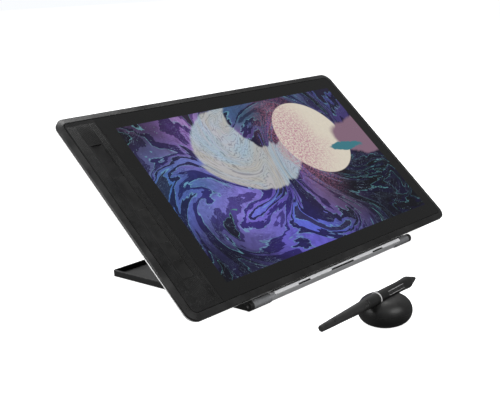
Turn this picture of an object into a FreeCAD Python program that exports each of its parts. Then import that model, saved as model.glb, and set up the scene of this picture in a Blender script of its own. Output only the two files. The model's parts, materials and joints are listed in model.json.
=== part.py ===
import FreeCAD, Part
import math
import os
import re

import Sketcher

# A pen display: a drawing tablet with a screen, leaning on its folding stand, and beside it the pen
# lying in the groove of a round pen holder.
#
# Frame: millimetres, +Z up. The origin is on the table under the middle of the stand's base. +X runs along
# the tablet's long edge to its right-hand end, +Y runs from the user to the back. The tablet and the stand's
# sloping plate are drawn flat, then tilted about the stand's hinge.

doc = FreeCAD.newDocument("PenDisplay")

SIZES = {
    # stand: base tray
    "stand_width": 280,
    "base_reach": 199.3,
    "base_lift": 0.8,
    "base_floor": 1.5,
    "base_height": 6.7,
    "base_wall": 2.2,
    "base_corner": 3,
    "base_front_gap": 5.3,
    "strip_length": 236,
    "strip_width": 12,
    "strip_bite": 0.5,
    # stand: hinge
    "hinge_back": -97.3,
    "hinge_rise": 5.2,
    "lean": 43.7,
    "knuckle_radius": 4.7,
    "ear_width": 5,
    "ear_block": 8,
    "rail_length": 218.6,
    "end_gap": 0.3,
    "barrel_bore": 3.4,
    "shaft_radius": 2.2,
    "shaft_slack": 0.05,
    "shaft_socket": 11,
    "clip_length": 16,
    "clip_slit": 1.2,
    "pivot_screw_radius": 1.3,
    # stand: lip and sloping plate
    "lip_front": 3.06,
    "lip_thick": 3.66,
    "lip_height": 10.6,
    "liner_thick": 1.4,
    "liner_height": 5.5,
    "flange_reach": 16,
    "flange_thick": 1.1,
    "notch_width": 1.66,
    "notch_depth": 1.2,
    "plate_length": 268,
    "plate_start": 5.6,
    "plate_end": 196,
    "plate_thick": 3,
    "plate_corner": 6,
    "plate_pad_length": 200,
    "plate_pad_width": 12,
    "pad_bite": 0.8,
    "rest_gap": 2,
    # tablet: case
    "tablet_shift": -3.7,
    "tablet_length": 434,
    "tablet_width": 243.4,
    "tablet_thick": 11.5,
    "case_corner": 12,
    "rim_thick": 3.8,
    "rim_fall": 1.1,
    "rim_slope": 6,
    "ledge_depth": 1.6,
    "glass_length": 419.4,
    "glass_width": 229.2,
    "glass_thick": 1.2,
    "glass_corner": 5.5,
    "glass_gap": 0.7,
    "back_inset": 10,
    "back_rise": 5.9,
    "cover_wall": 10,
    "cover_floor": 1.4,
    "panel_seam": 0.25,
    "opening_width": 209,
    # tablet: keys
    "key_panel_width": 37.5,
    "key_strip_centre": -189.5,
    "key_strip_shift": 1.7,
    "key_width": 13.2,
    "key_pitch": 20.3,
    "key_gap": 0.3,
    "key_sink": 0.3,
    "key_tall": 3.55,
    "key_dish": 18.7,
    # tablet: display stack
    "screen_shift": 20.3,
    "screen_length": 349.6,
    "screen_width": 196.7,
    "screen_margin": 3,
    # pen
    "pen_reach": 54.8,
    "pen_rise": 26.4,
    "pen_yaw": 2,
    "pen_roll": 21,
    "pen_length": 152.7,
    "pen_bore": 3.6,
    "nib_radius": 0.85,
    "nib_slack": 0.06,
    "nib_travel": 0.4,
    "rocker_start": 30.1,
    "rocker_length": 24.4,
    "rocker_width": 3.1,
    "pivot_depth": 4.6,
    "rib_radius": 0.6,
    "rocker_gap": 0.15,
    "trim_edge": 0.25,
    # pen holder
    "holder_side": -89.6,
    "holder_back": -218,
    "holder_radius": 24.7,
    "holder_height": 25,
    "holder_split": 12.4,
    "groove_radius": 6.1,
    "store_radius": 15.3,
    "store_height": 18.3,
    "boss_radius": 14.6,
    "boss_height": 16.8,
    "spare_nib_circle": 9,
}

sheet = doc.addObject("Spreadsheet::Sheet", "Sizes")
for row, (word, value) in enumerate(SIZES.items(), 1):
    sheet.set(f"A{row}", word)
    sheet.set(f"B{row}", str(value))
    sheet.setAlias(f"B{row}", word)
doc.recompute()

sub_parts = []


def sized(expression):
    """The expression with each size's word turned into its cell in the sheet."""
    def cell(match):
        return "Sizes." + match.group() if match.group() in SIZES else match.group()
    return re.sub(r"[a-z_]+", cell, str(expression))


def worth(expression):
    """The number that an expression in the sheet's words comes to."""
    value = sheet.evalExpression(sized(expression))
    return float(getattr(value, "Value", value))


def bind(thing, **sizes):
    """Tie properties of a document object to expressions in the sheet's words."""
    for prop, expression in sizes.items():
        thing.setExpression(prop.replace("__", "."), sized(expression))
    return thing


def put(thing, at, turn=None):
    """Place an object at a point, after an optional turn given as (axis, degrees)."""
    if turn:
        thing.Placement.Rotation = FreeCAD.Rotation(FreeCAD.Vector(*turn[0]), turn[1])
    return bind(thing, Placement__Base__x=at[0], Placement__Base__y=at[1], Placement__Base__z=at[2])


def box(name, low, size):
    """A block from its low corner."""
    block = doc.addObject("Part::Box", name)
    bind(block, Length=size[0], Width=size[1], Height=size[2])
    return put(block, low)


ALONG = {"x": ((0, 1, 0), 90), "y": ((1, 0, 0), -90), "z": None}


def rod(name, start, radius, length, along="z"):
    """A round bar that runs from a point along X, Y or Z."""
    bar = doc.addObject("Part::Cylinder", name)
    bind(bar, Radius=radius, Height=length)
    return put(bar, start, ALONG[along])


def join(name, pieces):
    """Several solids made one."""
    fused = doc.addObject("Part::MultiFuse", name)
    fused.Shapes = pieces
    return fused


def cut(name, base, tools):
    """A solid less one or more others."""
    result = doc.addObject("Part::Cut", name)
    result.Base = base
    result.Tool = tools[0] if len(tools) == 1 else join(name + "_cutters", tools)
    return result


def group(name, pieces):
    """Separate solids of one kind that share a node."""
    kept = doc.addObject("Part::Compound", name)
    kept.Links = pieces
    return kept


def block(name, low, size):
    """A block that is a sub-part of its own, so that its frame moves it from where it is drawn."""
    return group(name, [box(name + "_block", low, size)])


def tube(name, start, outer, inner, length, along="z"):
    """A round bar with a round hole along it."""
    hole = rod(name + "_hole", start, inner, length, along)
    return cut(name, rod(name + "_bar", start, outer, length, along), [hole])


def plane(body, role):
    """One of a body's own origin planes."""
    return next(item for item in body.Origin.OriginFeatures if item.Role == role)


def new_sketch(body, name, role="XY_Plane", lift="0"):
    """A sketch on an origin plane of the body, raised by an expression."""
    drawing = body.newObject("Sketcher::SketchObject", name)
    drawing.AttachmentSupport = [(plane(body, role), "")]
    drawing.MapMode = "FlatFace"
    bind(drawing, AttachmentOffset__Base__z=lift)
    return drawing


def rounded_outline(body, name, length, width, corner, lift="0", at=("0", "0")):
    """A rectangle with round corners, centred on a point, held by its length, width and corner radius."""
    drawing = new_sketch(body, name, lift=lift)
    bind(drawing, AttachmentOffset__Base__x=at[0], AttachmentOffset__Base__y=at[1])
    half_x, half_y, bend = worth(length) / 2, worth(width) / 2, worth(corner)
    ends = [(-half_x + bend, -half_y, half_x - bend, -half_y), (half_x, -half_y + bend, half_x, half_y - bend),
            (half_x - bend, half_y, -half_x + bend, half_y), (-half_x, half_y - bend, -half_x, -half_y + bend)]
    centres = [(half_x - bend, -half_y + bend, -90), (half_x - bend, half_y - bend, 0),
               (-half_x + bend, half_y - bend, 90), (-half_x + bend, -half_y + bend, 180)]
    for x_from, y_from, x_to, y_to in ends:
        drawing.addGeometry(Part.LineSegment(FreeCAD.Vector(x_from, y_from), FreeCAD.Vector(x_to, y_to)))
    for x_mid, y_mid, start in centres:
        circle = Part.Circle(FreeCAD.Vector(x_mid, y_mid), FreeCAD.Vector(0, 0, 1), bend)
        drawing.addGeometry(Part.ArcOfCircle(circle, math.radians(start), math.radians(start + 90)))
    for side in range(4):
        drawing.addConstraint(Sketcher.Constraint("Tangent", side, 2, 4 + side, 1))
        drawing.addConstraint(Sketcher.Constraint("Tangent", 4 + side, 2, (side + 1) % 4, 1))
    for corner_arc in (5, 6, 7):
        drawing.addConstraint(Sketcher.Constraint("Equal", 4, corner_arc))
    drawing.addConstraint(Sketcher.Constraint("Horizontal", 0))
    drawing.addConstraint(Sketcher.Constraint("Vertical", 1))
    drawing.addConstraint(Sketcher.Constraint("Symmetric", 4, 3, 6, 3, -1, 1))
    for label, constraint in (("long", Sketcher.Constraint("DistanceX", 3, 1, 1, 1, 2 * half_x)),
                              ("wide", Sketcher.Constraint("DistanceY", 0, 1, 2, 1, 2 * half_y)),
                              ("bend", Sketcher.Constraint("Radius", 4, bend))):
        drawing.renameConstraint(drawing.addConstraint(constraint), label)
    return bind(drawing, Constraints__long=length, Constraints__wide=width, Constraints__bend=corner)


def pad(body, drawing, height):
    """A sketch raised towards +Z."""
    feature = body.newObject("PartDesign::Pad", drawing.Name + "_pad")
    feature.Profile = drawing
    return bind(feature, Length=height)


def pocket(body, drawing, depth):
    """A sketch cut down from its own plane, checked to have taken something away."""
    doc.recompute()
    before = body.Shape.Volume
    feature = body.newObject("PartDesign::Pocket", drawing.Name + "_pocket")
    feature.Profile = drawing
    bind(feature, Length=depth)
    doc.recompute()
    if body.Shape.Volume > before - 1e-3:
        raise RuntimeError(f"{feature.Name} cuts nothing")
    return feature


def slab(name, length, width, height, corner, low="0", at=("0", "0")):
    """A flat piece with round corners, from a height upwards."""
    body = doc.addObject("PartDesign::Body", name)
    pad(body, rounded_outline(body, name + "_outline", length, width, corner, low, at), height)
    return body


def edges_where(shape, test):
    """Names of the edges whose every end passes a test."""
    return [f"Edge{number}" for number, edge in enumerate(shape.Edges, 1)
            if all(test(vertex.Point) for vertex in edge.Vertexes)]


def chamfer(body, names, size, second=None, flip=False):
    """The named edges of the body's last feature cut back."""
    feature = body.newObject("PartDesign::Chamfer", body.Name + "_chamfer")
    feature.Base = (body.Group[-2], names)
    feature.Size = size
    if second:
        feature.ChamferType = "Two distances"
        feature.Size2 = second
        feature.FlipDirection = flip
    body.Tip = feature
    doc.recompute()
    return feature


def outline_sketch(body, name, role, outline):
    """A closed outline of (across, up) points. A third value on a point bulges the line that arrives there
    into an arc, by that much to the right of its direction."""
    drawing = new_sketch(body, name, role)
    for index, point in enumerate(outline):
        start, end = (FreeCAD.Vector(*outline[place][:2]) for place in (index - 1, index))
        if len(point) > 2:
            right = FreeCAD.Vector(end.y - start.y, start.x - end.x).normalize()
            drawing.addGeometry(Part.Arc(start, (start + end) * 0.5 + right * point[2], end))
        else:
            drawing.addGeometry(Part.LineSegment(start, end))
    return drawing


def turned(name, outline):
    """A solid of revolution about local Z, from an outline of (radius, height) points."""
    body = doc.addObject("PartDesign::Body", name)
    feature = body.newObject("PartDesign::Revolution", name + "_turn")
    feature.Profile = outline_sketch(body, name + "_profile", "XZ_Plane", outline)
    feature.ReferenceAxis = (feature.Profile[0], ["V_Axis"])
    feature.Angle = 360
    return body


def extruded(name, outline, length):
    """A bar with a constant section along local X, centred, from an outline of (local Y, local Z) points."""
    body = doc.addObject("PartDesign::Body", name)
    feature = body.newObject("PartDesign::Pad", name + "_bar")
    feature.Profile = outline_sketch(body, name + "_section", "YZ_Plane", outline)
    feature.Midplane = True
    bind(feature, Length=length)
    return body


def keep(thing, frame=None):
    """Make an object a sub-part: label it for its file, and place it with its frame."""
    if frame:
        frame(thing)
    sub_parts.append(thing)
    return thing


LEAN_COS = "cos(lean * 1 deg)"
LEAN_SIN = "sin(lean * 1 deg)"
TABLET_MIDDLE = "(lip_thick - lip_front + liner_thick + tablet_width / 2)"
TABLET_FACE = "(plate_thick / 2 + rest_gap + tablet_thick)"


def on_slope(thing):
    """The hinge's frame: origin on the hinge axis, local Y up the slope, local Z out of the plate's face."""
    put(thing, ("0", "hinge_back", "hinge_rise"), ((1, 0, 0), SIZES["lean"]))
    bind(thing, Placement__Rotation__Angle="lean * 1 deg")


def on_tablet(thing):
    """The tablet's frame: origin at the middle of its front face, local Y to its top edge, Z outwards."""
    put(thing, ("tablet_shift",
                f"hinge_back + {TABLET_MIDDLE} * {LEAN_COS} - {TABLET_FACE} * {LEAN_SIN}",
                f"hinge_rise + {TABLET_MIDDLE} * {LEAN_SIN} + {TABLET_FACE} * {LEAN_COS}"),
        ((1, 0, 0), SIZES["lean"]))
    bind(thing, Placement__Rotation__Angle="lean * 1 deg")


def on_pen(thing):
    """The pen's frame: origin at the nib's point, local Z along the pen to its tail, nearly towards -X.
    Local -Y is the rocker's side, rolled up from the user's side."""
    put(thing, ("holder_side + pen_reach * cos(pen_yaw * 1 deg)",
                "holder_back + pen_reach * sin(pen_yaw * 1 deg)", "pen_rise"))
    upright = FreeCAD.Vector(0, 0, 1)
    turns = (FreeCAD.Rotation(upright, SIZES["pen_yaw"]), FreeCAD.Rotation(FreeCAD.Vector(0, 1, 0), -90),
             FreeCAD.Rotation(upright, SIZES["pen_roll"]))
    thing.Placement.Rotation = turns[0] * turns[1] * turns[2]


def on_holder(thing):
    """The pen holder's frame: origin on the table under its middle."""
    put(thing, ("holder_side", "holder_back", "0"))


# ---- stand: base, which lies on the table -----------------------------------------------------------------

TRAY_FRONT = "(hinge_back + base_front_gap)"
TRAY_BACK = "(hinge_back + base_reach)"
HALF_STAND = "(stand_width / 2)"
HALF_RAIL = "(rail_length / 2)"
FLOOR_TOP = "(base_lift + base_floor)"
BARREL_LENGTH = "(stand_width / 2 - ear_width - rail_length / 2 - end_gap)"
STRIP_SPOTS = (("front", -80), ("middle", 0), ("rear", 88))


def make_base_tray():
    """A shallow tray open at the front, with an ear at each front corner for the hinge, and three grooves
    underneath for the rubber strips."""
    middle = f"({TRAY_FRONT} + {TRAY_BACK}) / 2"
    shell = slab("tray_shell", "stand_width", f"{TRAY_BACK} - {TRAY_FRONT}", "base_height", "base_corner",
                 "base_lift", ("0", middle))
    doc.recompute()
    top = SIZES["base_lift"] + SIZES["base_height"]
    chamfer(shell, edges_where(shell.Shape, lambda point: abs(point.z - top) < 1e-3), 0.4)
    hollow = rounded_outline(shell, "tray_hollow", "stand_width - 2 * base_wall",
                             f"{TRAY_BACK} - {TRAY_FRONT} - base_wall + 20", "base_corner / 2",
                             "base_lift + base_height", ("0", f"{middle} - (base_wall + 20) / 2"))
    pocket(shell, hollow, "base_height - base_floor")
    pieces = [shell]
    holes = []
    for side, name in ((-1, "left"), (1, "right")):
        outer = f"{side} * {HALF_STAND}"
        low = outer if side < 0 else f"{outer} - ear_width"
        pieces.append(rod(f"ear_{name}", (low, "hinge_back", "hinge_rise"), "knuckle_radius", "ear_width",
                          "x"))
        pieces.append(box(f"ear_block_{name}", (low, "hinge_back", "base_lift"),
                          ("ear_width", "ear_block", "base_height")))
        cradle_low = f"{outer} + ear_width" if side < 0 else f"{outer} - ear_width - {BARREL_LENGTH}"
        pieces.append(box(f"cradle_{name}", (cradle_low, "hinge_back", "base_lift"),
                          (BARREL_LENGTH, "base_front_gap + 1", "base_floor + 1")))
        holes.append(rod(f"barrel_seat_{name}", (cradle_low, "hinge_back", "hinge_rise"), "knuckle_radius",
                         BARREL_LENGTH, "x"))
        holes.append(rod(f"pivot_hole_{name}", (low, "hinge_back", "hinge_rise"), "pivot_screw_radius",
                         "ear_width", "x"))
    for name, spot in STRIP_SPOTS:
        corner = ("-strip_length / 2", f"{spot} - strip_width / 2", "base_lift")
        holes.append(box(f"strip_groove_{name}", corner, ("strip_length", "strip_width", "strip_bite")))
    keep(cut("base_tray", join("tray_body", pieces), holes))


def make_base_feet():
    """Three rubber strips that the stand rests on, let into the tray's underside."""
    keep(group("base_feet", [box(f"base_foot_{name}", ("-strip_length / 2", f"{spot} - strip_width / 2", "0"),
                                 ("strip_length", "strip_width", "base_lift + strip_bite"))
                             for name, spot in STRIP_SPOTS]))


def make_hinge_fixed():
    """The fixed half of the hinge: a barrel beside each ear, the spring clip in it that grips the shaft, and
    the screw that closes the ear."""
    clips = []
    screws = []
    for side, name in ((-1, "left"), (1, "right")):
        inner = (f"{side} * {HALF_STAND} + ear_width" if side < 0 else
                 f"{HALF_STAND} - ear_width - {BARREL_LENGTH}")
        keep(tube(f"hinge_barrel_{name}", (inner, "hinge_back", "hinge_rise"), "knuckle_radius", "barrel_bore",
                  BARREL_LENGTH, "x"))
        clip_low = f"{inner} + ({BARREL_LENGTH} - clip_length) / 2"
        ring = tube(f"clip_ring_{name}", (clip_low, "hinge_back", "hinge_rise"), "barrel_bore",
                    "shaft_radius + shaft_slack", "clip_length", "x")
        slit = box(f"clip_slit_{name}", (clip_low, "hinge_back - clip_slit / 2", "hinge_rise"),
                   ("clip_length", "clip_slit", "barrel_bore + 1"))
        clips.append(cut(f"clip_{name}", ring, [slit]))
        screw_low = f"-{HALF_STAND} - 0.3" if side < 0 else f"{HALF_STAND} - ear_width + 0.3"
        screws.append(rod(f"pivot_screw_{name}", (screw_low, "hinge_back", "hinge_rise"), "pivot_screw_radius",
                          "ear_width", "x"))
    keep(group("friction_clips", clips))
    keep(group("pivot_screws", screws))


make_base_tray()
make_base_feet()
make_hinge_fixed()

# ---- stand: lip rail and sloping plate, in the hinge's frame -----------------------------------------------

NOTCHES = (("left", -64.5, 19), ("middle", 0, 39), ("right", 64.5, 19))
PLATE_SCREWS = (-95, -35, 35, 95)
PLATE_PADS = (("low", 42), ("high", 172))


def make_lip_rail():
    """A bar rounded about the hinge axis, with a flat front that stands up as the lip, a flange under the
    plate, a socket in each end for the hinge shaft, and notches in the lip's front corner."""
    front = -SIZES["lip_front"]
    back = front + SIZES["lip_thick"]
    top = SIZES["lip_height"]
    radius = SIZES["knuckle_radius"]
    edge = 0.4
    low = -math.sqrt(radius ** 2 - front ** 2)
    high = math.sqrt(radius ** 2 - back ** 2)
    chord = math.hypot(back - front, high - low)
    bulge = radius + math.sqrt(radius ** 2 - (chord / 2) ** 2)
    section = [(front, low), (front, top - edge), (front + edge, top), (back - edge, top), (back, top - edge),
               (back, high)]
    section[0] = (front, low, -bulge)
    rail = extruded("rail_bar", section, "rail_length")
    flange = box("rail_flange", (f"-{HALF_RAIL}", "0", "-plate_thick / 2 - flange_thick"),
                 ("rail_length", "flange_reach", "flange_thick"))
    holes = []
    for side, name in ((-1, "left"), (1, "right")):
        start = f"-{HALF_RAIL}" if side < 0 else f"{HALF_RAIL} - shaft_socket"
        holes.append(rod(f"shaft_socket_{name}", (start, "0", "0"), "shaft_radius", "shaft_socket", "x"))
    for name, middle, length in NOTCHES:
        holes.append(box(f"notch_{name}", (f"{middle - length / 2}", "-lip_front", "lip_height - notch_depth"),
                         (f"{length}", "notch_width", "notch_depth")))
    for middle in PLATE_SCREWS:
        holes.append(rod(f"flange_hole_{len(holes)}", (f"{middle}", "11", "-plate_thick / 2 - flange_thick"),
                         "1.2", "flange_thick"))
    keep(cut("lip_rail", join("rail_blank", [rail, flange]), holes), on_slope)


def make_lip_rubber():
    """The rubber inserts in the lip's notches and the rubber liner on its inner face."""
    keep(group("lip_pads", [box(f"lip_pad_{name}", (f"{middle - length / 2}", "-lip_front",
                                                    "lip_height - notch_depth"),
                                (f"{length}", "notch_width", "notch_depth"))
                            for name, middle, length in NOTCHES]), on_slope)
    keep(block("lip_liner", (f"-{HALF_RAIL} + 4", "lip_thick - lip_front", "lip_height - liner_height - 0.2"),
             ("rail_length - 8", "liner_thick", "liner_height")), on_slope)


def make_support_plate():
    """The plate that the tablet leans on, screwed to the rail's flange, with a finger notch at its top edge
    and two shallow grooves for its rubber strips."""
    plate = slab("plate_blank", "plate_length", "plate_end - plate_start", "plate_thick", "plate_corner",
                 "-plate_thick / 2", ("0", "(plate_end + plate_start) / 2"))
    for name, middle in PLATE_PADS:
        groove = rounded_outline(plate, f"pad_groove_{name}", "plate_pad_length", "plate_pad_width", "2",
                                 "plate_thick / 2", ("0", f"{middle}"))
        pocket(plate, groove, "pad_bite")
    holes = [rod("finger_notch", ("0", "plate_end + 5", "-plate_thick"), "14", "2 * plate_thick")]
    for middle in PLATE_SCREWS:
        holes.append(rod(f"plate_hole_{len(holes)}", (f"{middle}", "11", "-plate_thick / 2"), "1.2",
                         "plate_thick - 1"))
        holes.append(rod(f"head_seat_{len(holes)}", (f"{middle}", "11", "plate_thick / 2 - 1"), "2.4", "1"))
    keep(cut("support_plate", plate, holes), on_slope)
    pads = [slab(f"plate_pad_{name}", "plate_pad_length", "plate_pad_width", "pad_bite + rest_gap", "2",
                 "plate_thick / 2 - pad_bite", ("0", f"{middle}")) for name, middle in PLATE_PADS]
    keep(group("plate_pads", pads), on_slope)
    screws = []
    for index, middle in enumerate(PLATE_SCREWS):
        shank = rod(f"plate_shank_{index}", (f"{middle}", "11", "-plate_thick / 2 - flange_thick"), "1.2",
                    "plate_thick - 1 + flange_thick")
        head = rod(f"plate_head_{index}", (f"{middle}", "11", "plate_thick / 2 - 1"), "2.4", "1")
        screws.append(join(f"plate_screw_{index}", [shank, head]))
    keep(group("plate_screws", screws), on_slope)


def make_hinge_shafts():
    """A steel shaft at each end, held in the rail's socket and gripped in the barrel by the spring clip."""
    length = f"shaft_socket + end_gap + {BARREL_LENGTH} - 0.6"
    keep(group("hinge_shafts", [
        rod("hinge_shaft_left", (f"-{HALF_RAIL} - end_gap - {BARREL_LENGTH} + 0.6", "0", "0"), "shaft_radius",
            length, "x"),
        rod("hinge_shaft_right", (f"{HALF_RAIL} - shaft_socket", "0", "0"), "shaft_radius", length, "x")]),
        on_slope)


make_lip_rail()
make_lip_rubber()
make_support_plate()
make_hinge_shafts()

# ---- tablet: case, in the tablet's frame -------------------------------------------------------------------

HALF_LENGTH = "(tablet_length / 2)"
HALF_WIDTH = "(tablet_width / 2)"
PANEL_EDGE = "(-glass_length / 2 + key_panel_width)"
CAVITY_FLOOR = "(-tablet_thick + cover_floor)"
CASE_SCREWS = ((-204.5, 60), (-204.5, -60), (204.5, 60), (204.5, -60), (-120, 109.4), (0, 109.4), (120, 109.4),
               (-120, -109.4), (0, -109.4), (120, -109.4))
SOCKETS = (("left", 40), ("right", 66))
POWER_SPOT = 98
REAR_FEET = (("low_left", -175, -90), ("low_right", 175, -90), ("high_left", -175, 90),
             ("high_right", 175, 90))


def make_rim_frame():
    """The black frame round the front: its top falls away to the edge, a pocket takes the glass, and two
    openings leave a ledge and a rib under the glass."""
    rim = slab("rim_blank", "tablet_length", "tablet_width", "rim_thick", "case_corner", "-rim_thick")
    doc.recompute()
    chamfer(rim, edges_where(rim.Shape, lambda point: abs(point.z) < 1e-3), SIZES["rim_fall"],
            SIZES["rim_slope"])
    seat = rounded_outline(rim, "glass_seat", "glass_length + 2 * glass_gap", "glass_width + 2 * glass_gap",
                           "glass_corner + glass_gap")
    pocket(rim, seat, "ledge_depth")
    for name, low, high in (("key", "-199", "-178"), ("screen", "-168", "202")):
        opening = rounded_outline(rim, f"{name}_opening", f"{high} - ({low})", "opening_width", "2",
                                  "-ledge_depth", (f"({low} + {high}) / 2", "0"))
        pocket(rim, opening, "rim_thick - ledge_depth")
    threads = [rod(f"rim_thread_{index}", (f"{x}", f"{y}", "-rim_thick"), "1.2", "1.6")
               for index, (x, y) in enumerate(CASE_SCREWS)]
    keep(cut("rim_frame", rim, threads), on_tablet)


def make_rear_cover():
    """The aluminium rear cover: a hollow shell with a tapered edge all round, screw posts, openings for the
    sockets and the power button in its top edge, and shallow seats for its feet."""
    cover = slab("cover_blank", "tablet_length", "tablet_width", "tablet_thick - rim_thick", "case_corner",
                 "-tablet_thick")
    doc.recompute()
    back = -SIZES["tablet_thick"]
    chamfer(cover, edges_where(cover.Shape, lambda point: abs(point.z - back) < 1e-3), SIZES["back_rise"],
            SIZES["back_inset"])
    taper_top = back + SIZES["back_rise"]
    chamfer(cover, edges_where(cover.Shape, lambda point: abs(point.z - taper_top) < 1e-3), 0.8)
    hollow = rounded_outline(cover, "cover_hollow", "tablet_length - 2 * cover_wall",
                             "tablet_width - 2 * cover_wall", "4", "-rim_thick")
    pocket(cover, hollow, "tablet_thick - rim_thick - cover_floor")
    posts = [rod(f"cover_post_{index}", (f"{x}", f"{y}", CAVITY_FLOOR), "3.2",
                 "tablet_thick - cover_floor - rim_thick") for index, (x, y) in enumerate(CASE_SCREWS)]
    holes = [rod(f"cover_screw_hole_{index}", (f"{x}", f"{y}", "-tablet_thick + 1"), "1.2",
                 "tablet_thick - 1 - rim_thick") for index, (x, y) in enumerate(CASE_SCREWS)]
    holes += [rod(f"cover_head_seat_{index}", (f"{x}", f"{y}", "-tablet_thick"), "2.1", "1")
              for index, (x, y) in enumerate(CASE_SCREWS)]
    for name, x in SOCKETS:
        holes.append(box(f"socket_opening_{name}", (f"{x} - 4.5", f"{HALF_WIDTH} - cover_wall - 1", "-7.15"),
                         ("9", "cover_wall + 3", "3.3")))
    holes.append(box("button_opening", (f"{POWER_SPOT} - 5.1", f"{HALF_WIDTH} - cover_wall - 1", "-5.9"),
                     ("10.2", "cover_wall + 3", "2")))
    holes += [slab(f"foot_seat_{name}", "24", "10", "0.5", "4", "-tablet_thick", (f"{x}", f"{y}"))
              for name, x, y in REAR_FEET]
    keep(cut("rear_cover", join("cover_shell", [cover] + posts), holes), on_tablet)


def make_case_fasteners():
    """The screws that hold the rear cover to the rim, and the rubber feet on the tablet's back."""
    screws = []
    for index, (x, y) in enumerate(CASE_SCREWS):
        head = rod(f"case_head_{index}", (f"{x}", f"{y}", "-tablet_thick + 0.1"), "2.1", "0.9")
        shank = rod(f"case_shank_{index}", (f"{x}", f"{y}", "-tablet_thick + 1"), "1.2",
                    "tablet_thick - 1 - rim_thick + 1.4")
        screws.append(join(f"case_screw_{index}", [head, shank]))
    keep(group("case_screws", screws), on_tablet)
    keep(group("rear_feet", [slab(f"rear_foot_{name}", "24", "10", "1.5", "4", "-tablet_thick - 1",
                                  (f"{x}", f"{y}")) for name, x, y in REAR_FEET]), on_tablet)


def make_front_glass():
    """The etched glass over the screen, square-cornered where it meets the key panel, with the tape under its
    edge."""
    width = "glass_length - key_panel_width - panel_seam"
    blank = slab("glass_blank", "glass_length", "glass_width", "glass_thick", "glass_corner", "-glass_thick")
    left = box("glass_left", ("-glass_length / 2 - 1", "-glass_width / 2 - 1", "-glass_thick"),
               ("key_panel_width + panel_seam + 1", "glass_width + 2", "glass_thick"))
    keep(cut("front_glass", blank, [left]), on_tablet)
    tape = slab("tape_blank", "glass_length", "glass_width", "ledge_depth - glass_thick", "glass_corner",
                "-ledge_depth")
    window = slab("tape_window", "370", "opening_width", "ledge_depth - glass_thick", "2", "-ledge_depth",
                  ("17", "0"))
    tape_left = box("tape_left", ("-glass_length / 2 - 1", "-glass_width / 2 - 1", "-ledge_depth"),
                    ("key_panel_width + panel_seam + 1", "glass_width + 2", "ledge_depth - glass_thick"))
    keep(cut("glass_tape", tape, [window, tape_left]), on_tablet)


def make_key_panel():
    """The fine-ribbed strip down the left of the glass, with the long opening for the keys."""
    blank = slab("panel_blank", "glass_length", "glass_width", "ledge_depth", "glass_corner", "-ledge_depth")
    right = box("panel_right", (PANEL_EDGE, "-glass_width / 2 - 1", "-ledge_depth"),
                ("glass_length", "glass_width + 2", "ledge_depth"))
    keys = slab("panel_key_opening", "key_width + 2 * key_gap", "8 * key_pitch + 2 * key_gap", "ledge_depth",
                "1", "-ledge_depth", ("key_strip_centre", "key_strip_shift"))
    keep(cut("key_panel", blank, [right, keys]), on_tablet)


def make_keys():
    """Eight keys in one row, each dished along the row, so that together they make one long channel."""
    for number in range(8):
        middle = f"(key_strip_shift + {3.5 - number} * key_pitch)"
        blank = slab(f"key_blank_{number + 1}", "key_width", "key_pitch - key_gap", "key_tall", "0.6",
                     "-key_sink - key_tall", ("key_strip_centre", middle))
        dish = rod(f"key_dish_{number + 1}", ("key_strip_centre", f"{middle} - key_pitch / 2",
                                              "-key_sink - 1.2 + key_dish"), "key_dish", "key_pitch", "y")
        keep(cut(f"key_{number + 1}", blank, [dish]), on_tablet)


def make_display_stack():
    """From the glass backwards: display panel, light guide with its LED strip, backlight tray, the board that
    senses the pen, and its shield."""
    grown = "(screen_length + 2 * screen_margin)"
    tall = "(screen_width + 2 * screen_margin)"
    spot = ("screen_shift", "0")
    keep(slab("display_panel", grown, tall, "1.4", "1", "-glass_thick - 1.4", spot), on_tablet)
    keep(slab("light_guide", f"{grown} - 2", f"{tall} - 6", "1.5", "1", "-4.2", ("screen_shift", "2")),
         on_tablet)
    keep(block("led_strip", (f"screen_shift - {grown} / 2 + 4", f"-{tall} / 2 + 1.2", "-4.2"),
             (f"{grown} - 8", "2.4", "1.5")), on_tablet)
    keep(slab("backlight_tray", grown, tall, "0.5", "1", "-4.8", spot), on_tablet)
    keep(slab("pen_sensor", f"{grown} + 4", tall, "0.6", "1", "-5.5", spot), on_tablet)
    keep(slab("shield_sheet", f"{grown} + 2", f"{tall} - 2", "0.2", "1", "-5.8", spot), on_tablet)


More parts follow.
